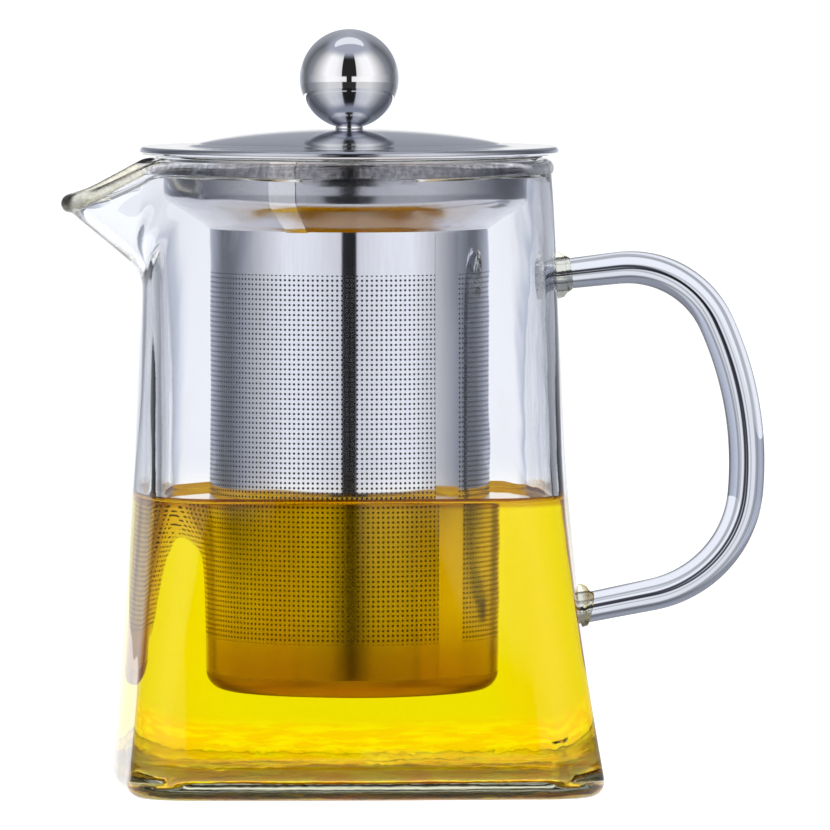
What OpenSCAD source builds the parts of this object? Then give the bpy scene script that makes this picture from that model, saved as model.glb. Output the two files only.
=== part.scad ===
// Glass teapot with a lift-out steel infuser and a lift-off lid.
// Millimetres, Z up. Spout towards -X, handle towards +X. Origin at the centre of the underside.

/* [Glass body] */
// Height from the table to the top of the mouth rim
body_h = 137; // [128:1:146]
// Half width across the flats at the base
base_half = 50.2; // [48:0.2:53]
// Half width at the mouth, where the section is round
mouth_half = 43.8; // [43.6:0.1:44.2]
// Wall thickness
wall_t = 2.4; // [2:0.1:2.8]
// Floor thickness
floor_t = 3.4; // [3:0.2:5]
// Corner radius of the square base
corner_r = 14; // [12:1:18]

/* [Spout] */
// Distance of the spout tip from the centre line
spout_reach = 63.2; // [61:0.2:66]
// Slope of the spout's open edge below horizontal
spout_fall = 26.6; // [22:0.2:28]
// Half angle of the cone that the spout is part of
spout_half_angle = 35; // [30:1:37]

/* [Handle] */
// Diameter of the solid glass rod
rod_d = 7.4; // [6.4:0.2:8.4]
// Height of the upper root on the wall
handle_z = 111.4; // [110:0.2:113]
// Diameter of the fused bead at each root
bead_d = 10.4; // [9.6:0.2:12]

/* [Infuser] */
// Outer radius of the collar
collar_r = 39.1; // [38:0.1:39.4]
// Outer radius of the basket
basket_r = 30.6; // [28:0.2:31]
// Height of the basket's underside above the table
basket_z = 20.6; // [14:0.2:32]
// Sheet thickness of the basket
sheet_t = 0.5; // [0.4:0.1:0.7]

/* [Lid] */
// Outer radius of the rolled edge
lid_r = 45.6; // [45:0.1:47]
// Rise of the dome above the brim
dome_rise = 3.8; // [3:0.2:6]
// Diameter of the knob ball
knob_d = 21.2; // [18:0.2:24]

/* [Hidden] */
$fn = 96;
EPS = 0.01;
JOIN = 0.1;
SWELL = 0.02;

GLASS = [0.86, 0.93, 0.90, 0.55];
STEEL = [0.72, 0.74, 0.78];
BRUSHED = [0.66, 0.67, 0.72];
POLISHED = [0.88, 0.89, 0.92];

// Glass body
flat_slope = (base_half - mouth_half) / body_h;
flat_tilt = atan(flat_slope);
base_bevel = 1.6;
inner_bevel = 4;
rim_bead_r = 2.0;
rim_mid_r = mouth_half - 1.4;
function flat_half(z) = base_half - flat_slope * z;
function corner_at(z) = corner_r + (mouth_half - corner_r) * pow(min(1, z / body_h), 2.2);
function corner_reach(z) = (flat_half(z) - corner_at(z)) * sqrt(2) + corner_at(z);
shoulder_z = [0, 62, 102, body_h];

// Spout: a cone whose lower line climbs outwards, cut by the sloping plane of the open edge
spout_rim_x = -43.9;
spout_lip_climb = 39.8;
spout_tilt = spout_lip_climb - spout_half_angle;
spout_tip_z = body_h - tan(spout_fall) * (spout_reach + spout_rim_x);
spout_overrun = 6.2;
spout_apex = [-spout_reach - spout_overrun, spout_tip_z + spout_overrun * tan(spout_lip_climb)];
spout_len = 40;
spout_wall = 2.3;

// Handle centre line: a straight, three tangent arcs turning clockwise, a straight
rod_r = rod_d / 2;
arm_heading = 6.4;
arm_len = 13.5;
arc_1 = [20.4, 72];
arc_2 = [74, 29.5];
arc_3 = [24.9, 73.5];
tail_len = 19;
function along(p, h, len) = p + len * [cos(h), sin(h)];
function arc_mid(p, h, arc) = p + arc[0] * [sin(h), -cos(h)];
function arc_end(p, h, arc) = arc_mid(p, h, arc) + arc[0] * [cos(h + 90 - arc[1]), sin(h + 90 - arc[1])];
root_up = [flat_half(handle_z), handle_z];
h_1 = arm_heading;
h_2 = h_1 - arc_1[1];
h_3 = h_2 - arc_2[1];
h_4 = h_3 - arc_3[1];
p_1 = along(root_up, h_1, arm_len);
p_2 = arc_end(p_1, h_1, arc_1);
p_3 = arc_end(p_2, h_2, arc_2);
p_4 = arc_end(p_3, h_3, arc_3);
root_low_z = p_4[1] + tan(h_4) * (flat_half(39) - p_4[0]);
root_low = [flat_half(root_low_z), root_low_z];

// Infuser
rim_t = 1.5;
rim_z = body_h + 0.15;
rim_r = 42.3;
collar_t = 0.8;
collar_low = 129.2;
basket_top = 121.7;
cap_corner = 4;
cap_lap = 4.5;
seam_az = -49.5;
seam_half = 6.4;
lap_az = -114.5;
lap_half = 4.4;
strip_t = 0.3;

// Lid
roll_r = 0.85;
roll_z = rim_z + rim_t + 0.15 + roll_r - 0.9;
plate_z = rim_z + rim_t + 0.15;
plate_t = 0.7;
dome_r = 34.6;
ring_r = 37.5;
ring_drop = 8.5;
ring_t = 0.6;
dome_top = plate_z + plate_t + dome_rise;
knob_r = knob_d / 2;
neck_r = 3.1;
neck_h = 1.0;
knob_z = dome_top + neck_h - 0.5 + knob_r;
screw_r = 2;
washer_t = 0.8;
washer_z = dome_top - plate_t - 0.12 - washer_t;

// A frustum with a rounded square section: half width w at z = 0, slope s inwards, corner radius c
module rounded_frustum(w, s, c, h) {
    tilt = atan(s);
    for (turn = [0, 90])
        rotate([0, 0, turn])
            leaning_slab(w, w - c, s, h);
    for (turn = [0 : 90 : 270])
        rotate([0, 0, turn])
            leaning_post(w - c, s, c * cos(tilt), h);
}

// A slab between z = 0 and h whose four sides lean inwards: half widths a along X and b along Y
module leaning_slab(a, b, s, h) {
    intersection() {
        leaning_pair(a, s, h);
        rotate([0, 0, 90])
            leaning_pair(b, s, h);
    }
}

// The space between two planes that lean towards each other
module leaning_pair(a, s, h) {
    rotate([90, 0, 0])
        translate([0, 0, -80])
            linear_extrude(160)
                polygon([[-a, 0], [a, 0], [a - s * h, h], [-a + s * h, h]]);
}

// A round post along the slanted edge of a frustum
module leaning_post(at, s, r, h) {
    lean = atan(s * sqrt(2));
    intersection() {
        translate([at, at, 0])
            rotate([0, 0, 45])
                rotate([0, -lean, 0])
                    translate([0, 0, -10])
                        cylinder(r = r, h = h + 20);
        translate([0, 0, h / 2])
            cube([300, 300, h], center = true);
    }
}

// The round envelope that turns the square base into the round mouth
module shoulder_envelope(inset) {
    rotate_extrude()
        polygon(concat(
            [[0, -1], [corner_reach(0) - inset, -1]],
            [for (z = shoulder_z) [corner_reach(z) - inset, z]],
            [[mouth_half - inset, body_h + 20], [0, body_h + 20]]));
}

module body_outside() {
    intersection() {
        rounded_frustum(base_half, flat_slope, corner_r, body_h - rim_bead_r);
        shoulder_envelope(0);
        leaning_pair(base_half - base_bevel, -1, body_h + 20);
        rotate([0, 0, 90])
            leaning_pair(base_half - base_bevel, -1, body_h + 20);
    }
}

module body_inside() {
    w = flat_half(floor_t) - wall_t;
    intersection() {
        union() {
            translate([0, 0, floor_t])
                rounded_frustum(w - inner_bevel, -1, corner_r - wall_t - inner_bevel, inner_bevel);
            translate([0, 0, floor_t + inner_bevel - EPS])
                rounded_frustum(w, flat_slope, corner_r - wall_t, body_h);
        }
        shoulder_envelope(wall_t);
    }
}

// The spout's cone, moved inwards along its axis so that its wall has the thickness asked for
module spout_cone(wall) {
    shift = wall / sin(spout_half_angle);
    translate([spout_apex[0], 0, spout_apex[1]])
        rotate([0, 90 + spout_tilt, 0])
            translate([0, 0, shift])
                cylinder(r1 = 0, r2 = spout_len * tan(spout_half_angle), h = spout_len);
}

// Everything below the sloping plane of the open edge
module below_spout_edge() {
    translate([spout_rim_x, 0, body_h])
        rotate([0, -spout_fall, 0])
            translate([-60, -60, -90])
                cube([60 + 12, 120, 90]);
}

// The side of the body that the spout is on, up to a height
module spout_sector(top) {
    translate([-90, -40, 90])
        cube([90 - 34, 80, top - 90]);
}

// Fire-polished bead around the mouth
module rim_bead() {
    translate([0, 0, body_h - rim_bead_r])
        rotate_extrude()
            translate([rim_mid_r, 0])
                circle(r = rim_bead_r);
}

module glass_body() {
    color(GLASS)
        difference() {
            union() {
                body_outside();
                intersection() {
                    spout_cone(0);
                    below_spout_edge();
                    spout_sector(body_h);
                }
                rim_bead();
            }
            body_inside();
            intersection() {
                spout_cone(spout_wall);
                spout_sector(body_h + 20);
            }
            translate([0, 0, floor_t + 20])
                cylinder(r = rim_mid_r - rim_bead_r, h = body_h);
        }
}

// One arc of the handle rod in the XZ plane
module rod_arc(p, h, arc, swell) {
    mid = arc_mid(p, h, arc);
    translate([mid[0], 0, mid[1]])
        rotate([90, 0, 0])
            rotate([0, 0, h + 90 - arc[1]])
                rotate([0, 0, -JOIN])
                    rotate_extrude(angle = arc[1] + 2 * JOIN)
                        translate([arc[0], 0])
                            circle(r = rod_r + swell);
}

module rod_straight(p, h, len) {
    translate([p[0], 0, p[1]])
        rotate([0, 90 - h, 0])
            translate([0, 0, -JOIN])
                cylinder(r = rod_r, h = len + 2 * JOIN);
}

module root_sphere(root) {
    translate([root[0], 0, root[1]])
        sphere(d = bead_d);
}

module handle_rod() {
    color(GLASS)
        difference() {
            union() {
                rod_straight(root_up, h_1, arm_len);
                rod_arc(p_1, h_1, arc_1, SWELL);
                rod_arc(p_2, h_2, arc_2, 0);
                rod_arc(p_3, h_3, arc_3, SWELL);
                rod_straight(p_4, h_4, norm(p_4 - root_low));
            }
            root_sphere(root_up);
            root_sphere(root_low);
        }
}

// A fused bead: a ball cut off by the flat side of the body
module fused_bead(root) {
    color(GLASS)
        intersection() {
            root_sphere(root);
            translate([flat_half(0), 0, 0])
                rotate([0, -flat_tilt, 0])
                    translate([0, -20, 0])
                        cube([40, 40, 150]);
        }
}

module handle_bead_upper() {
    fused_bead(root_up);
}

module handle_bead_lower() {
    fused_bead(root_low);
}

// Hemmed ring that hangs the infuser on the mouth of the glass
module infuser_rim() {
    color(STEEL)
        translate([0, 0, rim_z])
            rotate_extrude()
                union() {
                    translate([collar_r - collar_t, 0])
                        square([rim_r - rim_t / 2 - collar_r + collar_t, rim_t]);
                    translate([rim_r - rim_t / 2, rim_t / 2])
                        circle(r = rim_t / 2);
                }
}

// Outer line of the drawn collar, from the rim down to the basket, moved outwards by g
function collar_line(g) = [
    [collar_r + g, rim_z],
    [collar_r + g, collar_low],
    [collar_r - 0.3 + 0.95 * g, collar_low - 1.3 - 0.3 * g],
    [collar_r - 1.2 + 0.8 * g, collar_low - 2.4 - 0.6 * g],
    [collar_r - 2.6 + 0.6 * g, collar_low - 3.3 - 0.8 * g],
    [collar_r - 4.3 + 0.7 * g, collar_low - 4.6 - 0.7 * g],
    [basket_r + 2.4 + 0.7 * g, basket_top + 1.6 - 0.7 * g],
    [basket_r + 0.8 + 0.6 * g, basket_top + 0.6 - 0.8 * g],
    [basket_r + 0.2 + g, basket_top]];

function turned(list) = [for (i = [len(list) - 1 : -1 : 0]) list[i]];

// The sleeve below the collar that the basket's wall is welded around
sleeve_r = basket_r - sheet_t;
sleeve_line = [
    [sleeve_r, basket_top],
    [sleeve_r, basket_top - 5],
    [sleeve_r - sheet_t, basket_top - 5],
    [sleeve_r - sheet_t, basket_top + 0.6],
    [sleeve_r + 0.3, basket_top + 0.9]];

module infuser_collar() {
    inner = collar_line(-collar_t);
    shelf = [for (i = [len(inner) - 2 : -1 : 0]) inner[i]];
    color(STEEL)
        rotate_extrude()
            polygon(concat(collar_line(0), sleeve_line, shelf));
}

module collar_lap_strip() {
    color(BRUSHED)
        rotate([0, 0, lap_az - lap_half])
            rotate_extrude(angle = 2 * lap_half)
                polygon(concat(collar_line(strip_t), turned(collar_line(0))));
}

module basket_wall() {
    color(BRUSHED)
        difference() {
            translate([0, 0, basket_z + cap_corner])
                cylinder(r = basket_r, h = basket_top - basket_z - cap_corner);
            cylinder(r = basket_r - sheet_t, h = basket_top + 5);
        }
}

// The plain overlap where the rolled sheet is welded to itself
module basket_seam() {
    color(BRUSHED)
        translate([0, 0, basket_z + cap_corner])
            rotate([0, 0, seam_az - seam_half])
                rotate_extrude(angle = 2 * seam_half)
                    translate([basket_r, 0])
                        square([strip_t, basket_top - basket_z - cap_corner - 0.5]);
}

// Pressed cap with a rounded edge and a skirt inside the wall
module basket_bottom() {
    skirt_r = basket_r - sheet_t;
    color(BRUSHED)
        translate([0, 0, basket_z])
            rotate_extrude()
                difference() {
                    union() {
                        square([basket_r - cap_corner, cap_corner]);
                        intersection() {
                            translate([basket_r - cap_corner, cap_corner])
                                circle(r = cap_corner);
                            square([basket_r, cap_corner]);
                        }
                        translate([0, cap_corner - EPS])
                            square([skirt_r, cap_lap]);
                    }
                    translate([0, sheet_t])
                        square([basket_r - cap_corner, cap_corner + cap_lap]);
                    intersection() {
                        translate([basket_r - cap_corner, cap_corner])
                            circle(r = cap_corner - 2 * sheet_t);
                        square([basket_r, cap_corner]);
                    }
                    translate([0, cap_corner - EPS])
                        square([skirt_r - sheet_t, cap_corner + cap_lap]);
                }
}

// Height of the dome's top surface above the brim at radius r
function dome_h(r) = dome_rise * pow(max(0, 1 - pow(r / dome_r, 2)), 0.714);
dome_steps = [33.9, 32.5, 30, 26, 21, 15, 8];
function lid_line(z) = concat(
    [[lid_r - roll_r, z], [dome_r + 1.6, z], [dome_r + 0.3, z + 0.35]],
    [for (r = dome_steps) [r, z + dome_h(r)]],
    [[0, z + dome_rise]]);

// Pressed cover: rolled edge, flat brim and shallow dome
module lid_cover() {
    top = plate_z + plate_t;
    color(POLISHED)
        difference() {
            rotate_extrude()
                union() {
                    polygon(concat(lid_line(top), turned(lid_line(plate_z))));
                    translate([lid_r - roll_r, top - roll_r])
                        circle(r = roll_r);
                }
            translate([0, 0, plate_z - 1])
                cylinder(r = screw_r, h = 12);
        }
}

module lid_locating_ring() {
    color(STEEL)
        translate([0, 0, plate_z - ring_drop])
            difference() {
                cylinder(r = ring_r, h = ring_drop);
                translate([0, 0, -1])
                    cylinder(r = ring_r - ring_t, h = ring_drop + 2);
            }
}

module knob_ball() {
    color(POLISHED)
        difference() {
            translate([0, 0, knob_z])
                sphere(r = knob_r);
            cylinder(r = screw_r, h = knob_z - 2);
            translate([0, 0, dome_top])
                cylinder(r = neck_r, h = neck_h);
        }
}

module knob_neck() {
    color(POLISHED)
        translate([0, 0, dome_top])
            difference() {
                cylinder(r = neck_r, h = neck_h);
                translate([0, 0, -1])
                    cylinder(r = screw_r, h = neck_h + 2);
            }
}

module knob_washer() {
    color(STEEL)
        translate([0, 0, washer_z])
            difference() {
                cylinder(r = 4.5, h = washer_t);
                translate([0, 0, -1])
                    cylinder(r = screw_r, h = 3);
            }
}

// Pan-head screw that holds the ball from below
module knob_screw() {
    color(STEEL)
        translate([0, 0, washer_z]) {
            difference() {
                translate([0, 0, -1.6])
                    cylinder(r1 = 2.9, r2 = 3.6, h = 1.6);
                translate([-0.45, -5, -2])
                    cube([0.9, 10, 1]);
            }
            cylinder(r = screw_r, h = knob_z - 2 - washer_z);
        }
}

glass_body();
handle_rod();
handle_bead_upper();
handle_bead_lower();
infuser_rim();
infuser_collar();
collar_lap_strip();
basket_wall();
basket_seam();
basket_bottom();
lid_cover();
lid_locating_ring();
knob_ball();
knob_neck();
knob_screw();
knob_washer();
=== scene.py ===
import math

import bmesh
import bpy
import numpy as np
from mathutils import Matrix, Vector


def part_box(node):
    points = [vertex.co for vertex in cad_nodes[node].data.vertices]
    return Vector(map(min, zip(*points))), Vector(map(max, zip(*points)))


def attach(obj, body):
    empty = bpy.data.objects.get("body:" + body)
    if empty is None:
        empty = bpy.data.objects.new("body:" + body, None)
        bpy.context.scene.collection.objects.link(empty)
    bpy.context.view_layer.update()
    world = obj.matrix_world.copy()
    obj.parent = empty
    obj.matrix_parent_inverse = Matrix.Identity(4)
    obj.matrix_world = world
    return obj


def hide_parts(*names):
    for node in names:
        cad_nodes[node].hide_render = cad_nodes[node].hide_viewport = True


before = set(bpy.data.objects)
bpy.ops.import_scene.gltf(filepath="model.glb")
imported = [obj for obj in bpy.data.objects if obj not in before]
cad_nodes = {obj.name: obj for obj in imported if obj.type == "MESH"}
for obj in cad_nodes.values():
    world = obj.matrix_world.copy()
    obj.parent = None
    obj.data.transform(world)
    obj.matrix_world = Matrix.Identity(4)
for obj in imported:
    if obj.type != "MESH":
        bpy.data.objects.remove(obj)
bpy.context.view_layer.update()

MM = 0.001
X, Z = 0, 2


def lowest(node, axis):
    """The low end of a CAD node along an axis, in millimetres."""
    return round(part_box(node)[0][axis] / MM, 2)


def highest(node, axis):
    """The high end of a CAD node along an axis, in millimetres."""
    return round(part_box(node)[1][axis] / MM, 2)


# ---------------------------------------------------------------- sizes, in millimetres
# the glass body: a rounded square that grows towards the foot
BODY_H = highest("glass_body", Z)
BASE_HALF = 50.2
MOUTH_HALF = 43.8
CORNER_R = 9.0
CORNER_GROWTH = 2.6
SIDE_BOW = 0.30
FOOT_BOW = 0.12
BOW_TOP = 60.0
CORNER_FILL = 5.0
FILL_TOP = 34.0
FOOT_FLARE = 3.2
FOOT_SWAY = 1.6
FLARE_TOP = 75.0
FLARE_CURVE = 1.5
WALL = 2.4
FLOOR = 3.4
FLOOR_RISE = 0.5
OUTER_FOOT = 4.0
INNER_FOOT = 6.0
UNDER_RISE = 0.25
RIM_BEAD = 2.05
BEAD_INSET = 1.45
ROW_CROWDING = 0.9

# the spout: a cone that melts into the wall
SPOUT_APEX = (-69.4, 132.55)
SPOUT_TILT = math.radians(4.8)
SPOUT_HALF = math.radians(35)
SPOUT_EDGE_X = -43.9
SPOUT_FALL = math.tan(math.radians(26.6))
SPOUT_MELT = 4.0

# the tea
TEA_Z = 63.4
TEA_OVERLAP = 0.12
MENISCUS_H = 1.3
MENISCUS = ((0.5, 0.62), (1.1, 0.28), (1.9, 0.1), (3.2, 0.02), (8.0, 0.0))

# the handle: straight, three arcs of (radius, degrees, steps), straight
HANDLE_TOP = 111.4
HANDLE_TOP_SLOPE = math.radians(6.4)
HANDLE_FOOT = 39.0
HANDLE_FOOT_SLOPE = math.radians(-11.4)
HANDLE_SINK = 2.0
HANDLE_STRAIGHT = 15.5
HANDLE_ARCS = ((20.4, 72, 22), (74, 29.5, 22), (24.9, 73.5, 24))
STRAIGHT_STEPS = 14
HANDLE_X = 45.0
HANDLE_REACH = 1.021
LOOP_X = 50.0
LOOP_Z = 74.0
ROD_R = 3.25
ROD_SWELL = 0.65
ROD_SIDES = 40
BEAD_PROFILE = ((0.0, -1.0), (5.0, -1.0), (5.2, 0.2), (5.0, 1.3), (4.3, 2.0), (3.9, 2.6), (3.5, 3.4),
                (0.0, 3.4))

# the infuser
SHEET = 0.5
BASKET_R = highest("basket_wall", X)
BASKET_Z = lowest("basket_bottom", Z)
BASKET_TOP = highest("basket_wall", Z)
CAP_R = 4.0
CAP_TOP = BASKET_Z + CAP_R
CAP_LAP = 4.5
COLLAR_R = highest("infuser_collar", X)
COLLAR_WALL = 0.75
SLEEVE_H = 5.0
RIM_R = highest("infuser_rim", X)
RIM_INNER_R = 38.3
RIM_Z = lowest("infuser_rim", Z)
RIM_TOP = highest("infuser_rim", Z)
RIM_ROUND = 0.7
# the collar's wall and bowl: the radius beyond the wall's, and the height
COLLAR_CURVE = ((0.0, RIM_Z), (0.0, 134.0), (0.0, 131.0), (0.0, 129.4), (-0.3, 127.9), (-1.2, 126.8),
                (-2.6, 125.8), (-4.3, 124.6), (-6.1, 123.4), (-7.5, 122.5), (-8.2, BASKET_TOP))
HOLE_PITCH = 1.07
HOLE_COLUMNS = 180
HOLES_LOW = 32.2
HOLES_TOP = 112.4
SEAM_AZ = -49.5
SEAM_HALF = 6.4
LAP_AZ = -114.5
LAP_HALF = 4.4

# the lid
PLATE_T = 0.7
PLATE_Z = highest("lid_locating_ring", Z)
PLATE_TOP = PLATE_Z + PLATE_T
LID_R = highest("lid_cover", X)
ROLL_R = 0.85
DOME_R = 34.6
DOME_RISE = 3.8
DOME_CURVE = 0.714
DOME_TOP = PLATE_TOP + DOME_RISE
DOME_RADII = (3, 6, 9, 12, 15, 18, 21, 24, 26.5, 28.5, 30.2, 31.6, 32.7, 33.4)
BRIM_STEPS = ((34.2, 0.55), (35.0, 0.28), (36.2, 0.1), (38.0, 0.02), (41, 0.0))
RING_R = highest("lid_locating_ring", X)
RING_INNER_R = 36.9
RING_LOW = lowest("lid_locating_ring", Z)
NECK_R = highest("knob_neck", X)
BALL_R = 10.8
BALL_GAP = 0.1

# ---------------------------------------------------------------- finishes
GLASS_IOR = 1.47
ROD_IOR = 1.14
BEAD_IOR = 1.16
TEA_IOR = 1.333
GLASS_BY_TEA = (0.985, 0.985, 0.97)
GLASS_ABOVE_TEA = (0.875, 0.888, 0.935)
# the mouth's rim: painted shade of the lid, speckled grey; the spout's rim, speckled olive
RIM_SHADE_UNDER_LID = ((0.46, 0.46, 0.49), (0.80, 0.80, 0.82))
SPOUT_RIM = ((0.72, 0.69, 0.54), (0.93, 0.92, 0.83))
ROD_TINT = (0.64, 0.67, 0.75)
ROD_REFRACTION_DARK = (0.003, 0.003, 0.005)
# painted dark refraction lines along the rod: where each lies across it, how wide it is and how dark
ROD_REFRACTION_LINES = ((-0.02, 0.09, 1.0), (0.17, 0.05, 0.6), (-0.50, 0.09, 0.75), (0.66, 0.05, 0.35))
TEA_BODY = (0.76, 0.75, 0.0)
TEA_CORNER = (0.78, 0.68, 0.0)
TEA_STREAKS = ((0.97, 0.58, 0.0), (1.0, 0.90, 0.0))
# painted shade along the tea's surface line
TEA_SURFACE_SHADE = (0.42, 0.22, 0.01)
RIM_FADE = (BODY_H - 3.6, BODY_H - 2.4)
TINT_FADE = (TEA_Z - 2, TEA_Z + 8)
SURFACE_SHADE_FADE = (TEA_Z - 1.2, TEA_Z - 0.2)
# painted tea glow on the steel: where it fades out at the tea's surface, and where it darkens towards the
# bottom
UNDER_TEA_FADE = (TEA_Z - 1.5, TEA_Z + 0.2)
GLOW_DEEPEN_FADE = (24.0, 42.0)
STREAK_FADE = (6.5, 12.0)
FOOT_RIPPLE_FADE = (7.0, 15.0)
HOLE_FADE = (0.19, 0.29)
# painted reflection of the tea on the front of the collar's bowl: its middle across, its side fade and its
# top fade
BOWL_REFLECTION_X = 2.5
BOWL_REFLECTION_SIDE = (12.0, 18.0)
BOWL_REFLECTION_TOP = (126.6, 128.2)
# painted glow of the tea on steel that stands in the tea: high up, and darker at the bottom
TEA_GLOW = (0.72, 0.46, 0.20)
DEEP_TEA_GLOW = (0.46, 0.21, 0.08)
# painted reflection of the tea on the collar's bowl
BOWL_TEA_REFLECTION = (0.34, 0.20, 0.07)
# painted shade seen through the holes, browner under the tea
HOLE_SHADE = (0.03, 0.03, 0.035)
HOLE_SHADE_IN_TEA = (0.16, 0.09, 0.015)
GRAIN_UP = (3.0, 3.0, 0.12)
GRAIN_ROUND = (0.3, 0.3, 3.0)
GRAIN_FINE = (1.6, 1.6, 1.6)
GRAIN_WIDE = (0.6, 0.6, 0.6)
NO_STRETCH = (1, 1, 1)

# ---------------------------------------------------------------- stage and camera, in metres and degrees
TABLE_HALF = 0.42
TABLE_BACK = 1.3
TABLE_FRONT = 0.16
TABLE_Z = -0.0002
TABLE_SIDES = 64
TABLE_LIGHT = 1.3
CAMERA_AZ = -3.3
CAMERA_FAR = 4.0
EYE_Z = 0.25
AIM_SIDE = 0.0143
AIM_Z = 0.081
VIEW_WIDTH = 0.180435
SENSOR = 36
GREY = (1, 1, 1)
LAVENDER = (0.86, 0.90, 1.0)
# the studio walls as (degrees away from the camera, brightness, tint): at eye level, higher up and below
SKY_LEVEL = ((0, 0.02, GREY), (5.8, 0.02, GREY), (6.4, 0.85, GREY), (30, 1.05, GREY), (52, 1.08, GREY),
             (80, 0.62, GREY), (100, 0.36, LAVENDER), (116, 0.18, LAVENDER), (128, 0.20, LAVENDER),
             (140, 0.36, LAVENDER), (152, 0.56, LAVENDER), (163, 0.70, LAVENDER), (170, 0.9, LAVENDER),
             (174, 1.12, GREY), (180, 1.12, GREY))
SKY_UPPER = ((0, 0.02, GREY), (17, 0.02, GREY), (18, 0.80, GREY), (34, 1.02, GREY), (56, 1.08, GREY),
             (80, 0.60, GREY), (100, 0.30, LAVENDER), (125, 0.16, LAVENDER), (150, 0.34, LAVENDER),
             (180, 0.48, LAVENDER))
SKY_UNDER = ((0, 0.03, GREY), (15, 0.03, GREY), (18, 0.66, GREY), (50, 0.74, GREY), (90, 0.32, LAVENDER),
             (125, 0.14, LAVENDER), (150, 0.4, LAVENDER), (170, 1.0, GREY), (180, 1.0, GREY))
UPPER_FROM = (4.0, 8.0)
UNDER_FROM = (-7.0, -5.0)
HIGH_FROM = (45.0, 66.0)
HIGH_TONE = (0.40, 0.42, 0.50)
CEILING_TONE = (0.85, 0.87, 0.92)


# ---------------------------------------------------------------- meshes
def mesh_piece(name, verts, faces, material, body):
    """One mesh from millimetre points, riding on a body."""
    mesh = bpy.data.meshes.new(name)
    mesh.from_pydata([tuple(float(c) * MM for c in v) for v in verts], [], faces)
    mesh.validate()
    mesh.polygons.foreach_set("use_smooth", [True] * len(mesh.polygons))
    piece = bpy.data.objects.new(name, mesh)
    bpy.context.scene.collection.objects.link(piece)
    mesh.materials.append(material)
    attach(piece, body)
    clean(mesh)
    return piece


def clean(mesh, distance=1e-6, crease=50):
    """Merges points that lie on top of each other on the axis, and faces normals outwards."""
    work = bmesh.new()
    work.from_mesh(mesh)
    bmesh.ops.remove_doubles(work, verts=work.verts, dist=distance)
    bmesh.ops.recalc_face_normals(work, faces=work.faces)
    work.to_mesh(mesh)
    work.free()
    mesh.set_sharp_from_angle(angle=math.radians(crease))


def grid_faces(rows, cols, wrap_cols=True, wrap_rows=False):
    """Quads between rows of points laid out one row after another."""
    faces = []
    for i in range(rows if wrap_rows else rows - 1):
        above = (i + 1) % rows
        for j in range(cols if wrap_cols else cols - 1):
            beside = (j + 1) % cols
            faces.append((i * cols + j, i * cols + beside, above * cols + beside, above * cols + j))
    return faces


def rounded(profile, radius, steps=5, closed=True):
    """The profile with its corners rounded. A point's third value is a radius of its own."""
    last = len(profile) - 1
    out = []
    for i, point in enumerate(profile):
        r = point[2] if len(point) > 2 else radius
        here = np.array(point[:2], float)
        before = np.array(profile[i - 1][:2], float) - here
        after = np.array(profile[(i + 1) % len(profile)][:2], float) - here
        before_length = np.linalg.norm(before)
        after_length = np.linalg.norm(after)
        cosine = float(np.clip(np.dot(before, after) / (before_length * after_length), -1, 1))
        turn = math.acos(cosine)
        is_end = not closed and i in (0, last)
        if is_end or turn > math.pi - 0.02:
            out.append(here)
            continue
        cut = min(r / math.tan(turn / 2), 0.45 * before_length, 0.45 * after_length)
        start = here + before / before_length * cut
        end = here + after / after_length * cut
        for t in np.arange(steps + 1) / steps:
            out.append((1 - t) ** 2 * start + 2 * t * (1 - t) * here + t ** 2 * end)
    return out


def lathe(name, profile, material, body, replaced, seg=160, closed=True, arc=None):
    """Turns a profile of (radius, height) round Z. arc is (from, to) in degrees for a strip."""
    points = [(max(float(r), 0.0), float(z)) for r, z in profile]
    if arc:
        turns = np.radians(np.linspace(*arc, seg + 1))
    else:
        turns = np.linspace(0, 2 * math.pi, seg, endpoint=False)
    cols = len(turns)
    verts = [(r * math.cos(t), r * math.sin(t), z) for r, z in points for t in turns]
    faces = grid_faces(len(points), cols, wrap_cols=not arc, wrap_rows=closed)
    if arc:
        start = [i * cols for i in range(len(points))]
        faces.append(tuple(start))
        faces.append(tuple(i + cols - 1 for i in reversed(start)))
    piece = mesh_piece(name, verts, faces, material, body)
    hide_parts(replaced)
    return piece


def quarter(start, end, count):
    """Angles in radians between two angles in degrees."""
    return np.radians(np.linspace(start, end, count))


# ---------------------------------------------------------------- the glass body's shape
def flare(z):
    """1 at the foot, falling to 0 where the flare ends."""
    return np.clip(1 - z / FLARE_TOP, 0, 1) ** FLARE_CURVE


def flat_half(z):
    """Half the width of the body between its flat sides."""
    straight = BASE_HALF - (BASE_HALF - MOUTH_HALF) / BODY_H * np.clip(z, 0, BODY_H)
    return straight + FOOT_FLARE * flare(z)


def foot_sway(z):
    """The blown foot stands a little towards the handle."""
    return FOOT_SWAY * flare(z)


def corner_at(z):
    """The corners open up until the mouth is round."""
    return CORNER_R + (MOUTH_HALF - CORNER_R) * np.clip(z / BODY_H, 0, 1) ** CORNER_GROWTH


def square_reach(turn, half, corner):
    """How far a rounded square reaches in direction turn."""
    half = np.maximum(half, 0.01)
    corner = np.clip(corner, 0.005, half)
    fold = np.abs((turn + math.pi / 4) % (math.pi / 2) - math.pi / 4)
    side = half / np.cos(fold)
    middle = half - corner
    root = np.maximum(corner ** 2 - middle ** 2 * (1 - np.sin(2 * fold)), 0)
    bend = middle * (np.cos(fold) + np.sin(fold)) + np.sqrt(root)
    return np.where(side * np.sin(fold) <= middle, side, bend)


def section(turn, z, inset):
    """The body's cross-section at height z: a rounded square with bowed sides and thick inner corners."""
    fill = CORNER_FILL * np.clip(1 - z / FILL_TOP, 0, 1) if inset > 0 else 0.0
    bow = FOOT_BOW + (SIDE_BOW - FOOT_BOW) * np.clip(z / BOW_TOP, 0, 1)
    half = flat_half(z) - inset
    return (1 - bow) * square_reach(turn, half, corner_at(z) + fill - inset) + bow * half


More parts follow.
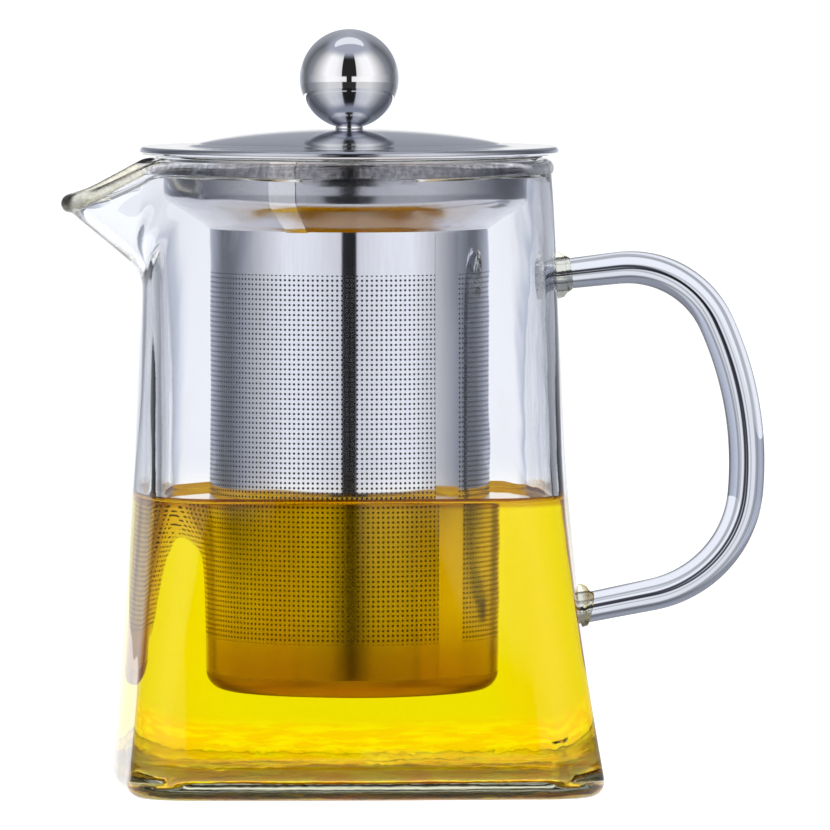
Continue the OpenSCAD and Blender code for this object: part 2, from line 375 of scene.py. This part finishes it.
def spout_reach(turn, z, inset):
    """How far the spout's cone reaches from the axis at height z, or 0 where it doesn't."""
    shift = inset / math.sin(SPOUT_HALF)
    dx, dz = math.cos(SPOUT_TILT), -math.sin(SPOUT_TILT)
    px = -SPOUT_APEX[0] - shift * dx
    pz = z - SPOUT_APEX[1] - shift * dz
    spread = math.cos(SPOUT_HALF) ** 2
    ux = np.cos(turn)
    a = (ux * dx) ** 2 - spread
    b = 2 * ((ux * dx) * (px * dx + pz * dz) - spread * ux * px)
    c = (px * dx + pz * dz) ** 2 - spread * (px ** 2 + pz ** 2)
    inner = b * b - 4 * a * c
    root = np.sqrt(np.maximum(inner, 0))
    best = np.zeros_like(root)
    for r in ((-b + root) / (2 * a), (-b - root) / (2 * a)):
        along = (r * ux + px) * dx + pz * dz
        good = (inner > 0) & (r > 0) & (along > 0) & (ux < -0.5)
        best = np.where(good & (r > best), r, best)
    return best


def soft_max(a, b, blend):
    """The larger of two reaches, with a soft change from one to the other."""
    near = np.maximum(blend - np.abs(a - b), 0) / blend
    return np.maximum(a, b) + near * near * blend / 4


def body_reach(turn, z, inset):
    """Outer surface of the glass, moved inwards by inset, spout included."""
    return soft_max(section(turn, z, inset), spout_reach(turn, z, inset), SPOUT_MELT)


def rim_height(turn):
    """Height of the mouth's edge in each direction: level, and falling along the spout."""
    z = np.full_like(turn, BODY_H)
    for _ in range(40):
        r = body_reach(turn, z, 0.0)
        edge = BODY_H - SPOUT_FALL * np.maximum(0, -(r * np.cos(turn)) + SPOUT_EDGE_X)
        z = 0.7 * z + 0.3 * edge
    return z


def ring_points(rows, turn):
    """The points of every row of (reach, height), moved with the foot's sway."""
    verts = []
    for r, z in rows:
        verts += list(zip(r * np.cos(turn) + foot_sway(z), r * np.sin(turn), z))
    return verts


def underside_rows(turn):
    """The flat underside, a little hollow in the middle, and the round edge of the foot."""
    rows = []
    for share in (0.0, 0.3, 0.6, 0.85, 0.96):
        rise = UNDER_RISE * (1 - share) if share < 0.9 else 0.0
        rows.append((section(turn, 0.0, OUTER_FOOT) * share, np.full_like(turn, rise)))
    for a in quarter(-90, 0, 9):
        z = np.full_like(turn, OUTER_FOOT * (1 + math.sin(a)))
        rows.append((section(turn, z, OUTER_FOOT * (1 - math.cos(a))), z))
    return rows


def wall_rows(turn, foot, shoulder, inset, count):
    """One side of the wall, from foot height up to the shoulder under the rim."""
    rows = []
    for t in np.linspace(0, 1, count)[1:]:
        z = foot + (shoulder - foot) * t ** ROW_CROWDING
        rows.append((body_reach(turn, z, inset), z))
    return rows


def floor_row(turn, share, drop):
    """A ring of the inner floor, which rises a little towards the middle."""
    r = section(turn, FLOOR, WALL + INNER_FOOT) * share
    return r, np.full_like(turn, FLOOR) + FLOOR_RISE * (1 - share) - drop


def inner_foot_row(turn, angle, over):
    """A ring of the round edge between the inner floor and the inner wall."""
    z = np.full_like(turn, FLOOR + INNER_FOOT * (1 + math.sin(angle)))
    return section(turn, z, WALL + INNER_FOOT * (1 - math.cos(angle)) - over), z


def glass_rows(turn, count=84):
    """The glass all round: underside, foot, wall, rim, inner wall and inner floor."""
    top = rim_height(turn)
    edge = body_reach(turn, top, 0.0)
    lean = (edge - body_reach(turn, top - 1.5, 0.0)) / 1.5
    up = 1 / np.sqrt(1 + lean ** 2)
    out = lean * up
    rows = underside_rows(turn)
    rows += wall_rows(turn, OUTER_FOOT, top - (RIM_BEAD + 1.2) * up, 0.0, count)
    middle_r = edge - RIM_BEAD * out - BEAD_INSET * up
    middle_z = top - RIM_BEAD * up + BEAD_INSET * out
    for a in quarter(-35, 215, 15):
        rows.append((middle_r + RIM_BEAD * (math.cos(a) * up + math.sin(a) * out),
                     middle_z + RIM_BEAD * (math.sin(a) * up - math.cos(a) * out)))
    rows += wall_rows(turn, FLOOR + INNER_FOOT, top - (RIM_BEAD + 2.2) * up, WALL, count)[::-1]
    rows += [inner_foot_row(turn, a, 0.0) for a in quarter(0, -90, 10)]
    rows += [floor_row(turn, share, 0.0) for share in (0.9, 0.75, 0.5, 0.25, 0.0)]
    return rows


def tea_rows(turn, count=26):
    """The tea fills the pot to TEA_Z, a hair into the glass, with a small meniscus."""
    rows = [floor_row(turn, share, TEA_OVERLAP) for share in (0.0, 0.25, 0.5, 0.75, 0.9)]
    rows += [inner_foot_row(turn, a, TEA_OVERLAP) for a in quarter(-90, 0, 10)]
    foot = FLOOR + INNER_FOOT
    for t in np.linspace(0, 1, count)[1:]:
        z = np.full_like(turn, foot + (TEA_Z + MENISCUS_H - foot) * t)
        rows.append((body_reach(turn, z, WALL - TEA_OVERLAP), z))
    edge = body_reach(turn, np.full_like(turn, TEA_Z), WALL - TEA_OVERLAP)
    for back, rise in MENISCUS:
        rows.append((edge - back, np.full_like(turn, TEA_Z + rise)))
    for share in (0.6, 0.3, 0.0):
        rows.append((edge * share, np.full_like(turn, TEA_Z)))
    return rows


# ---------------------------------------------------------------- shader helpers
class Val:
    """A number on its way through a shader. Python's operators add Math nodes."""

    def __init__(self, owner, socket):
        self.owner = owner
        self.socket = socket

    def op(self, kind, *others):
        """A Math node with this number first."""
        return self.owner.math(kind, self, *others)

    def __abs__(self):
        return self.op("ABSOLUTE")

    def step(self, low, high):
        """0 below low, 1 above high, smooth between."""
        ramp = self.owner.node("ShaderNodeMapRange", {"interpolation_type": "SMOOTHSTEP"},
                               {"Value": self, "From Min": low, "From Max": high})
        return Val(self.owner, ramp.outputs["Result"])


def forward(kind):
    """The method behind value + other."""
    def work(self, other):
        return self.owner.math(kind, self, other)
    return work


def reflected(kind):
    """The method behind other + value."""
    def work(self, other):
        return self.owner.math(kind, other, self)
    return work


for sign, kind in (("add", "ADD"), ("sub", "SUBTRACT"), ("mul", "MULTIPLY"), ("truediv", "DIVIDE")):
    setattr(Val, f"__{sign}__", forward(kind))
    setattr(Val, f"__r{sign}__", reflected(kind))
Val.__gt__ = forward("GREATER_THAN")
Val.__lt__ = forward("LESS_THAN")


class Nodes:
    """A node tree, and the one way in which nodes are added to it."""

    def __init__(self, tree):
        self.tree = tree

    def node(self, kind, settings=None, sockets=None):
        """Adds a node, sets it up, and then gives its sockets their values or links."""
        made = self.tree.nodes.new(kind)
        for name, value in (settings or {}).items():
            if name == "stops":
                set_stops(made.color_ramp, value)
            else:
                setattr(made, name, value)
        for name, value in (sockets or {}).items():
            self.join(value, made.inputs[name])
        return made

    def join(self, value, socket):
        """Links a socket, or sets it to a constant."""
        if isinstance(value, Val):
            value = value.socket
        if isinstance(value, bpy.types.NodeSocket):
            self.tree.links.new(value, socket)
        elif socket.type == "RGBA":
            socket.default_value = (*value, 1.0)
        else:
            socket.default_value = value

    def math(self, kind, *values):
        """A Math node over numbers and links."""
        made = self.node("ShaderNodeMath", {"operation": kind}, dict(enumerate(values)))
        return Val(self, made.outputs[0])

    def split(self, vector):
        """The three numbers of a vector."""
        parts = self.node("ShaderNodeSeparateXYZ", None, {0: vector})
        return [Val(self, part) for part in parts.outputs]

    def mix(self, mask, first, second):
        """The first colour where mask is 0 and the second where it is 1."""
        made = self.node("ShaderNodeMix", {"data_type": "RGBA"}, {"Factor": mask, 6: first, 7: second})
        return made.outputs[2]


def set_stops(band, stops):
    """Gives a ramp its stops, as (position, colour)."""
    while len(band.elements) < len(stops):
        band.elements.new(0.5)
    for element, (position, color) in zip(band.elements, stops):
        element.position = position
        element.color = (*color, 1.0)


class Finish(Nodes):
    """A Principled material. Its constants sit on the shader's own sockets."""

    def __init__(self, name, color, rough, **constants):
        self.mat = bpy.data.materials.new(name)
        self.mat.use_nodes = True
        super().__init__(self.mat.node_tree)
        self.shader = self.tree.nodes["Principled BSDF"]
        self.put("Base Color", color)
        self.put("Roughness", rough)
        for key, value in constants.items():
            self.put(key.replace("_", " "), value)

    def put(self, name, value):
        """Sets or links one socket of the shader."""
        self.join(value, self.shader.inputs[name])

    def base_link(self):
        """What the base colour is linked to so far."""
        return self.shader.inputs["Base Color"].links[0].from_socket

    def place(self):
        """Object coordinates in millimetres."""
        metres = self.node("ShaderNodeTexCoord").outputs["Object"]
        scaled = self.node("ShaderNodeVectorMath", {"operation": "SCALE"}, {0: metres, "Scale": 1 / MM})
        return scaled.outputs[0]

    def noise(self, vector, stretch, scale, detail):
        """Noise in 0 to 1, drawn out along the axes whose stretch is small."""
        drawn = self.node("ShaderNodeVectorMath", {"operation": "MULTIPLY"}, {0: vector, 1: stretch})
        made = self.node("ShaderNodeTexNoise", None,
                         {"Vector": drawn.outputs[0], "Scale": scale, "Detail": detail})
        return Val(self, made.outputs["Fac"])

    def bump(self, height, strength, distance):
        """Raises the surface by height, with distance in millimetres."""
        made = self.node("ShaderNodeBump", None,
                         {"Strength": strength, "Distance": distance * MM, "Height": height})
        self.put("Normal", made.outputs["Normal"])

    def soak(self, color, density):
        """Light is lost along its way through the piece."""
        volume = self.node("ShaderNodeVolumeAbsorption", None, {"Color": color, "Density": density})
        self.join(volume.outputs[0], self.tree.nodes["Material Output"].inputs["Volume"])


# ---------------------------------------------------------------- glass and tea
def near_corner(x, y, start):
    """1 on the diagonals of the body, 0 on its flats."""
    return abs((y.op("ARCTAN2", x) * 2).op("SINE")).step(start, 1.0)


def rim_shade_and_spout_tint(s, place, past_mouth):
    """Speckled: painted shade of the lid in grey round the mouth, and olive along the spout."""
    speckle = s.noise(place, NO_STRETCH, 1.1, 2.0).step(0.35, 0.65)
    return s.mix(past_mouth.step(0.0, 2.0), s.mix(speckle, *RIM_SHADE_UNDER_LID), s.mix(speckle, *SPOUT_RIM))


def clear_glass():
    """Clear where the tea stands, faintly lavender above it, uneven at the blown corners."""
    s = Finish("clear_glass", (0.97, 0.98, 0.97), 0.0, IOR=GLASS_IOR, Transmission_Weight=1.0,
               Specular_Tint=(0.25, 0.25, 0.28))
    place = s.place()
    x, y, z = s.split(place)
    past_mouth = (x * -1.0 + SPOUT_EDGE_X).op("MAXIMUM", 0.0)
    rim = (z + past_mouth * SPOUT_FALL).step(*RIM_FADE)
    above = z.step(*TINT_FADE)
    wall = s.mix(above, GLASS_BY_TEA, GLASS_ABOVE_TEA)
    # painted shade of the lid on the rim round the mouth
    s.put("Base Color", s.mix(rim, wall, rim_shade_and_spout_tint(s, place, past_mouth)))
    s.put("Roughness", rim * (past_mouth.step(0.0, 4.0) * 0.24 + 0.10))
    wave = s.noise(place, (1, 1, 0.35), 0.045, 1.0) * 4.0
    ripple = s.noise(place, (1, 1, 0.4), 0.18, 1.0) * near_corner(x, y, 0.80) * (0.12 + (x > 0.0) * 0.45)
    foot = s.noise(place, (1, 1, 1.2), 0.20, 2.0) * (1.0 - z.step(*FOOT_RIPPLE_FADE)) * 0.8
    s.bump(wave + ripple + foot, 0.25, 0.5)
    s.soak((0.88, 0.89, 0.70), 15.0)
    return s.mat


def across_rod(s, x, z):
    """-1 on the inside of the handle's loop, 1 on the outside, from the way the surface faces."""
    facing_x, _, facing_z = s.split(s.node("ShaderNodeTexCoord").outputs["Normal"])
    out_x = x - LOOP_X
    out_z = z - LOOP_Z
    return (facing_x * out_x + facing_z * out_z) / (out_x * out_x + out_z * out_z).op("POWER", 0.5)


def handle_glass():
    """Lavender rod with painted dark edges and painted dark lines along it, which stand in for the dark
    surroundings seen through the glass.
    """
    s = Finish("handle_glass", ROD_TINT, 0.0, IOR=ROD_IOR, Transmission_Weight=1.0)
    place = s.place()
    x, _, z = s.split(place)
    across = across_rod(s, x, z)
    # painted dark edges where the rod faces into and out of the loop, then the painted dark refraction lines
    dark = abs(across).step(0.86, 0.97) * 0.9
    for middle, width, depth in ROD_REFRACTION_LINES:
        dark = (1.0 - abs(across - middle).step(width * 0.4, width)) * depth + dark
    s.put("Base Color", s.mix(dark.op("MINIMUM", 1.0), ROD_TINT, ROD_REFRACTION_DARK))
    s.bump(s.noise(place, NO_STRETCH, 0.12, 1.0), 0.08, 0.6)
    return s.mat


def fused_glass():
    """The beads keep the unevenness of glass that was pressed on by hand."""
    s = Finish("bead_glass", (0.92, 0.90, 0.76), 0.0, IOR=BEAD_IOR, Transmission_Weight=1.0)
    s.bump(s.noise(s.place(), NO_STRETCH, 0.6, 2.0), 0.3, 0.4)
    return s.mat


def green_tea():
    """Yellow tea, amber in streaks over the floor, with painted brown shade just under its surface."""
    s = Finish("tea", (1.0, 0.94, 0.0), 0.0, IOR=TEA_IOR, Transmission_Weight=1.0)
    place = s.place()
    x, y, z = s.split(place)
    body = s.mix(near_corner(x, y, 0.86), TEA_BODY, TEA_CORNER)
    streak = s.noise(place, (0.3, 0.3, 2.2), 0.35, 2.0).step(0.42, 0.62)
    body = s.mix(z.step(*STREAK_FADE), s.mix(streak, *TEA_STREAKS), body)
    # painted brown shade in the top millimetre under the tea's surface
    s.put("Base Color", s.mix(z.step(*SURFACE_SHADE_FADE), body, TEA_SURFACE_SHADE))
    s.soak((0.98, 0.80, 0.02), 8.0)
    return s.mat


# ---------------------------------------------------------------- steel
def brushed(name, color, rough, stretch, grain=0.08, relief=0.05):
    """Steel with a fine grain that runs one way. Below the tea's surface the glow of the tea is painted on
    it, darker towards the bottom.
    """
    s = Finish(name, color, rough, Metallic=1.0)
    place = s.place()
    _, _, z = s.split(place)
    lines = s.noise(place, stretch, 1.0, 4.0)
    # below the tea's surface the glow of the tea is painted on, darker towards the bottom
    under_tea = 1.0 - z.step(*UNDER_TEA_FADE)
    dark = tuple(c * 0.93 for c in color)
    light = tuple(min(1.0, c * 1.06) for c in color)
    painted_tea_glow = s.mix(z.step(*GLOW_DEEPEN_FADE), DEEP_TEA_GLOW, TEA_GLOW)
    s.put("Base Color", s.mix(under_tea, s.mix(lines, dark, light), painted_tea_glow))
    s.put("Roughness", rough + (lines - 0.5) * grain + under_tea * 0.13)
    s.bump(lines, 0.05, relief)
    return s


def polished(name, color, rough):
    """Bright steel with a little wear."""
    s = Finish(name, color, rough, Metallic=1.0)
    wear = s.noise(s.place(), NO_STRETCH, 0.25, 3.0)
    s.put("Roughness", rough + wear.step(0.45, 0.8) * 0.03)
    return s


def perforated():
    """Brushed sheet with a square grid of etched holes between two plain margins."""
    s = brushed("perforated_steel", (0.92, 0.92, 0.96), 0.06, GRAIN_UP, grain=0.03, relief=0.01)
    x, y, z = s.split(s.place())
    column = y.op("ARCTAN2", x) * (HOLE_COLUMNS / (2 * math.pi)) + 400.5
    row = z / HOLE_PITCH + 0.5
    beside = column.op("FRACT") - 0.5
    above = row.op("FRACT") - 0.5
    from_middle = (beside * beside + above * above).op("POWER", 0.5)
    hole = (1.0 - from_middle.step(*HOLE_FADE)) * (z > HOLES_LOW) * (z < HOLES_TOP)
    in_tea = z < TEA_Z
    # the holes are painted dark as the shade of the basket's inside, browner under the tea
    s.put("Base Color", s.mix(hole, s.base_link(), s.mix(in_tea, HOLE_SHADE, HOLE_SHADE_IN_TEA)))
    s.put("Metallic", 1.0 - hole * 0.9)
    s.put("Roughness", 0.07 + hole * 0.5 + in_tea * 0.12)
    return s


def collar_steel():
    """Satin steel, partly darkened by painted shade under the rim, with a painted reflection of the tea on
    the front of the bowl.
    """
    # the dark base colour is partly the satin finish and partly painted shade under the rim
    s = brushed("collar_steel", (0.54, 0.54, 0.57), 0.17, GRAIN_FINE, grain=0.10)
    x, y, z = s.split(s.place())
    # painted reflection of the tea, on the front of the bowl only
    beside = abs(x - BOWL_REFLECTION_X).step(*BOWL_REFLECTION_SIDE)
    painted_reflection_mask = (y < 0.0) * (1.0 - beside) * (1.0 - z.step(*BOWL_REFLECTION_TOP))
    s.put("Base Color", s.mix(painted_reflection_mask * 0.8, s.base_link(), BOWL_TEA_REFLECTION))
    return s


# ---------------------------------------------------------------- pot
def make_glass_body(glass, cols=288):
    turn = np.linspace(0, 2 * math.pi, cols, endpoint=False)
    rows = glass_rows(turn)
    pot = mesh_piece("glass_body_visual", ring_points(rows, turn), grid_faces(len(rows), cols), glass, "pot")
    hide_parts("glass_body")


def make_tea(material, cols=224):
    turn = np.linspace(0, 2 * math.pi, cols, endpoint=False)
    rows = tea_rows(turn)
    mesh_piece("tea_in_pot", ring_points(rows, turn), grid_faces(len(rows), cols), material, "pot")


def straight_run(x, z, heading, length):
    """Points along a straight stretch, and where it ends."""
    dx = length / STRAIGHT_STEPS * math.cos(heading)
    dz = length / STRAIGHT_STEPS * math.sin(heading)
    points = [(x + dx * k, z + dz * k, heading) for k in range(STRAIGHT_STEPS)]
    return points, (x + dx * STRAIGHT_STEPS, z + dz * STRAIGHT_STEPS, heading)


def arc_run(x, z, heading, radius, degrees, steps):
    """Points along an arc that bends downwards, and where it ends."""
    middle_x = x + radius * math.sin(heading)
    middle_z = z - radius * math.cos(heading)
    points = []
    for k in range(steps + 1):
        a = heading - math.radians(degrees) * k / steps
        points.append((middle_x - radius * math.sin(a), middle_z + radius * math.cos(a), a))
    return points[:-1], points[-1]


def handle_line():
    """The rod's centre line as (x, z, heading): straight, three tangent arcs, straight."""
    start_x = flat_half(HANDLE_TOP) - HANDLE_SINK
    start_z = HANDLE_TOP - HANDLE_SINK * math.tan(HANDLE_TOP_SLOPE)
    line, end = straight_run(start_x, start_z, HANDLE_TOP_SLOPE, HANDLE_STRAIGHT)
    for radius, degrees, steps in HANDLE_ARCS:
        points, end = arc_run(*end, radius, degrees, steps)
        line += points
    left = (end[0] - (flat_half(HANDLE_FOOT) - HANDLE_SINK)) / abs(math.cos(end[2]))
    points, end = straight_run(*end, left)
    line += points + [end]
    return [(HANDLE_X + (x - HANDLE_X) * HANDLE_REACH, z, heading) for x, z, heading in line]


def ring_across(x, z, heading, radius, sides):
    """A ring of points across a line that lies in the XZ plane."""
    points = []
    for k in range(sides):
        a = 2 * math.pi * k / sides
        off = radius * math.cos(a)
        points.append((x - off * math.sin(heading), radius * math.sin(a), z + off * math.cos(heading)))
    return points


def make_handle_rod(material):
    """The rod is a little thicker in the middle of its length."""
    line = handle_line()
    verts = []
    for i, (x, z, heading) in enumerate(line):
        t = i / (len(line) - 1)
        radius = ROD_R + ROD_SWELL * abs(math.sin(math.pi * t)) ** 1.2
        verts += ring_across(x, z, heading, radius, ROD_SIDES)
    last = (len(line) - 1) * ROD_SIDES
    ends = [tuple(reversed(range(ROD_SIDES))), tuple(range(last, last + ROD_SIDES))]
    rod = mesh_piece("handle_rod_visual", verts, grid_faces(len(line), ROD_SIDES) + ends, material, "pot")
    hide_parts("handle_rod")


def make_bead(name, node, z, slope, material):
    """A fused bead: a swollen ring where the rod was pressed on the hot wall."""
    x = float(flat_half(z))
    profile = rounded(BEAD_PROFILE, 0.8, 4, closed=False)
    verts = []
    for r, s in profile:
        verts += ring_across(x + s * math.cos(slope), z + s * math.sin(slope), slope, float(r), ROD_SIDES)
    bead = mesh_piece(name, verts, grid_faces(len(profile), ROD_SIDES), material, "pot")
    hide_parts(node)


# ---------------------------------------------------------------- infuser
def make_infuser_rim(material):
    profile = rounded([(RIM_INNER_R, RIM_Z), (RIM_R, RIM_Z, RIM_ROUND), (RIM_R, RIM_TOP, RIM_ROUND),
                       (RIM_INNER_R, RIM_TOP)], 0.15, 6)
    lathe("infuser_rim_visual", profile, material, "infuser", "infuser_rim")


def collar_line(offset):
    """The collar's wall and bowl, moved along its normals by offset and softened."""
    points = np.array([(COLLAR_R + r, z) for r, z in COLLAR_CURVE])
    step = np.gradient(points, axis=0)
    step /= np.linalg.norm(step, axis=1)[:, None]
    points = points + offset * np.stack([-step[:, 1], step[:, 0]], axis=1)
    for _ in range(3):
        early = 0.75 * points[:-1] + 0.25 * points[1:]
        late = 0.25 * points[:-1] + 0.75 * points[1:]
        points = np.vstack([points[:1], np.stack([early, late], axis=1).reshape(-1, 2), points[-1:]])
    return list(points)


def make_collar(material):
    """The collar's bowl ends in a short sleeve inside the basket."""
    outer = BASKET_R - SHEET
    inner = BASKET_R - 2 * SHEET
    sleeve = [(outer, BASKET_TOP), (outer, BASKET_TOP - SLEEVE_H), (inner, BASKET_TOP - SLEEVE_H),
              (inner, BASKET_TOP + 0.6)]
    profile = collar_line(0.0) + sleeve + collar_line(-COLLAR_WALL)[-2::-1]
    lathe("infuser_collar_visual", profile, material, "infuser", "infuser_collar")


def make_lap_strip(material):
    """The strip where the ends of the collar's sheet lap over each other."""
    profile = collar_line(0.3) + collar_line(-0.05)[::-1]
    lathe("collar_lap_strip_visual", profile, material, "infuser", "collar_lap_strip", seg=10,
          arc=(LAP_AZ - LAP_HALF, LAP_AZ + LAP_HALF))


def make_basket_wall(material):
    heights = (CAP_TOP, 50, 75, 100, BASKET_TOP)
    profile = [(BASKET_R - SHEET, z) for z in reversed(heights)] + [(BASKET_R, z) for z in heights]
    lathe("basket_wall_visual", profile, material, "infuser", "basket_wall", seg=180)


def make_basket_seam(material):
    """The welded seam is a plain band that stands a hair proud."""
    low, high = BASKET_R - 0.02, BASKET_R + 0.04
    top = BASKET_TOP - 0.5
    profile = rounded([(low, CAP_TOP), (high, CAP_TOP), (high, top), (low, top)], 0.05, 2)
    lathe("basket_seam_visual", profile, material, "infuser", "basket_seam", seg=14,
          arc=(SEAM_AZ - SEAM_HALF, SEAM_AZ + SEAM_HALF))


def make_basket_bottom(material):
    """A pressed cap with a round edge. Its upright flange stands inside the basket's wall."""
    flat = BASKET_R - CAP_R
    flange = BASKET_R - SHEET
    profile = [(0.0, BASKET_Z), (flat, BASKET_Z)]
    profile += [(flat + CAP_R * math.sin(a), CAP_TOP - CAP_R * math.cos(a)) for a in quarter(8, 90, 10)]
    profile += [(flange, CAP_TOP), (flange, CAP_TOP + CAP_LAP), (flange - SHEET, CAP_TOP + CAP_LAP),
                (flange - SHEET, CAP_TOP + 0.2)]
    profile += [(flat + 3.0 * math.sin(a), CAP_TOP - 3.4 * math.cos(a)) for a in quarter(85, 5, 10)]
    profile += [(0.0, BASKET_Z + 0.55)]
    lathe("basket_bottom_visual", profile, material, "infuser", "basket_bottom", closed=False)


# ---------------------------------------------------------------- lid
def dome(r):
    """Height of the pressed dome over the brim at radius r."""
    return DOME_RISE * max(0.0, 1 - (r / DOME_R) ** 2) ** DOME_CURVE


def make_lid_cover(material):
    """The dome and brim in one pressing, with a rolled edge."""
    skin = [(0.0, DOME_TOP)]
    skin += [(r, PLATE_TOP + dome(r)) for r in DOME_RADII]
    skin += [(r, PLATE_TOP + rise) for r, rise in BRIM_STEPS]
    skin += [(LID_R - 1.2, PLATE_TOP)]
    roll = [(LID_R - ROLL_R + ROLL_R * math.cos(a), PLATE_TOP - ROLL_R + ROLL_R * math.sin(a))
            for a in quarter(80, -200, 18)]
    belly = [(r, z - PLATE_T) for r, z in reversed(skin) if r < LID_R - 2]
    lathe("lid_cover_visual", skin + roll + belly, material, "lid", "lid_cover", seg=200, closed=False)


def make_locating_ring(material):
    """A short upright ring under the plate, with a bevel at its lower edge."""
    profile = rounded([(RING_INNER_R, PLATE_Z), (RING_R, PLATE_Z), (RING_R, RING_LOW + 0.7),
                       (RING_R - 0.3, RING_LOW), (RING_INNER_R, RING_LOW)], 0.15, 4)
    lathe("lid_locating_ring_visual", profile, material, "lid", "lid_locating_ring")


def make_knob(material):
    """A ball on a low neck."""
    middle = DOME_TOP + BALL_GAP + BALL_R
    ball = [(BALL_R * math.sin(a), middle + BALL_R * math.cos(a)) for a in quarter(0, 163, 60)]
    ball += [(3.0, middle - BALL_R + 0.6), (0.0, middle - BALL_R + 0.6)]
    lathe("knob_ball_visual", ball, material, "lid", "knob_ball", seg=96, closed=False)
    neck_top = DOME_TOP + 1.0
    neck = rounded([(0.0, neck_top), (NECK_R - 0.2, neck_top), (NECK_R, DOME_TOP), (0.0, DOME_TOP)], 0.2, 3,
                   closed=False)
    lathe("knob_neck_visual", neck, material, "lid", "knob_neck", seg=64, closed=False)


def finish_fixings(material):
    """The knob's screw and washer keep their CAD shape."""
    for name in ("knob_screw", "knob_washer"):
        cad_nodes[name].data.materials.clear()
        cad_nodes[name].data.materials.append(material)


# ---------------------------------------------------------------- stage
def table_light():
    """The white table gives light of its own."""
    mat = bpy.data.materials.new("table_white")
    mat.use_nodes = True
    mat.node_tree.nodes.clear()
    s = Nodes(mat.node_tree)
    light = s.node("ShaderNodeEmission", None, {"Color": (1, 1, 1), "Strength": TABLE_LIGHT})
    s.node("ShaderNodeOutputMaterial", None, {"Surface": light.outputs[0]})
    return mat


def make_table():
    """A pale oval table top that reaches further back than forward."""
    ring = []
    for a in np.linspace(0, 2 * math.pi, TABLE_SIDES, endpoint=False):
        depth = TABLE_BACK if math.cos(a) > 0 else TABLE_FRONT
        ring.append((TABLE_HALF * math.sin(a), depth * math.cos(a), TABLE_Z))
    mesh = bpy.data.meshes.new("table_top")
    mesh.from_pydata(ring, [], [tuple(reversed(range(TABLE_SIDES)))])
    mesh.materials.append(table_light())
    table = bpy.data.objects.new("table_top", mesh)
    bpy.context.scene.collection.objects.link(table)


def make_studio():
    """White behind the pot, and softboxes at both sides of a dark gap that holds the camera."""
    world = bpy.data.worlds.new("studio")
    bpy.context.scene.world = world
    world.use_nodes = True
    s = Nodes(world.node_tree)
    x, y, z = s.split(s.node("ShaderNodeTexCoord").outputs["Generated"])
    to_degrees = 180 / math.pi
    around = abs(x.op("ARCTAN2", y * -1.0) * to_degrees - CAMERA_AZ) / 180.0
    rise = z.op("ARCSINE") * to_degrees

    def wall(bands):
        stops = [(degrees / 180, tuple(level * c for c in tint)) for degrees, level, tint in bands]
        return s.node("ShaderNodeValToRGB", {"stops": stops}, {0: around}).outputs[0]

    sky = s.mix(rise.step(*UPPER_FROM), wall(SKY_LEVEL), wall(SKY_UPPER))
    sky = s.mix(1.0 - rise.step(*UNDER_FROM), sky, wall(SKY_UNDER))
    sky = s.mix(rise.step(*HIGH_FROM), sky, HIGH_TONE)
    sky = s.mix((rise > HIGH_FROM[1]) * (y > 0.0), sky, CEILING_TONE)
    s.join(sky, world.node_tree.nodes["Background"].inputs["Color"])


def make_camera():
    """A long lens from far off, a little to the left and above the lid."""
    data = bpy.data.cameras.new("camera")
    camera = bpy.data.objects.new("camera", data)
    bpy.context.scene.collection.objects.link(camera)
    bpy.context.scene.camera = camera
    yaw = math.radians(CAMERA_AZ)
    aim = Vector((AIM_SIDE * math.cos(yaw), AIM_SIDE * math.sin(yaw), AIM_Z))
    camera.location = aim + Vector((CAMERA_FAR * math.sin(yaw), -CAMERA_FAR * math.cos(yaw), EYE_Z - AIM_Z))
    camera.rotation_euler = (aim - camera.location).to_track_quat("-Z", "Y").to_euler()
    data.sensor_width = SENSOR
    data.lens = CAMERA_FAR * SENSOR / VIEW_WIDTH
    data.clip_end = 50


def set_light_paths():
    """Enough bounces for light to get through glass, tea and glass again."""
    scene = bpy.context.scene
    scene.view_settings.view_transform = "Standard"
    scene.cycles.max_bounces = 24
    scene.cycles.transmission_bounces = 24
    scene.cycles.glossy_bounces = 8
    scene.cycles.transparent_max_bounces = 16
    scene.cycles.caustics_reflective = True
    scene.cycles.caustics_refractive = True


# ---------------------------------------------------------------- the teapot
make_glass_body(clear_glass())
make_tea(green_tea())
make_handle_rod(handle_glass())
bead_glass = fused_glass()
make_bead("handle_bead_upper_visual", "handle_bead_upper", HANDLE_TOP, HANDLE_TOP_SLOPE, bead_glass)
make_bead("handle_bead_lower_visual", "handle_bead_lower", HANDLE_FOOT, HANDLE_FOOT_SLOPE, bead_glass)

make_infuser_rim(polished("rim_steel", (0.70, 0.71, 0.76), 0.09).mat)
make_collar(collar_steel().mat)
# the lap strip is lighter than the collar's steel of the same sheet: a painted highlight
make_lap_strip(brushed("collar_lap_steel_painted_highlight", (0.80, 0.79, 0.80), 0.2, GRAIN_FINE).mat)
make_basket_wall(perforated().mat)
make_basket_seam(brushed("weld_seam_steel", (0.92, 0.92, 0.96), 0.07, GRAIN_UP, grain=0.03, relief=0.01).mat)
make_basket_bottom(brushed("basket_cap_steel", (0.60, 0.58, 0.58), 0.26, GRAIN_WIDE).mat)

make_lid_cover(brushed("lid_steel", (0.57, 0.585, 0.64), 0.12, GRAIN_ROUND, grain=0.03).mat)
make_locating_ring(brushed("locating_ring_steel", (0.55, 0.55, 0.58), 0.25, GRAIN_ROUND).mat)
make_knob(polished("knob_chrome", (0.90, 0.90, 0.93), 0.015).mat)
finish_fixings(brushed("screw_steel", (0.6, 0.6, 0.62), 0.25, NO_STRETCH).mat)

make_studio()
make_table()
make_camera()
set_light_paths()
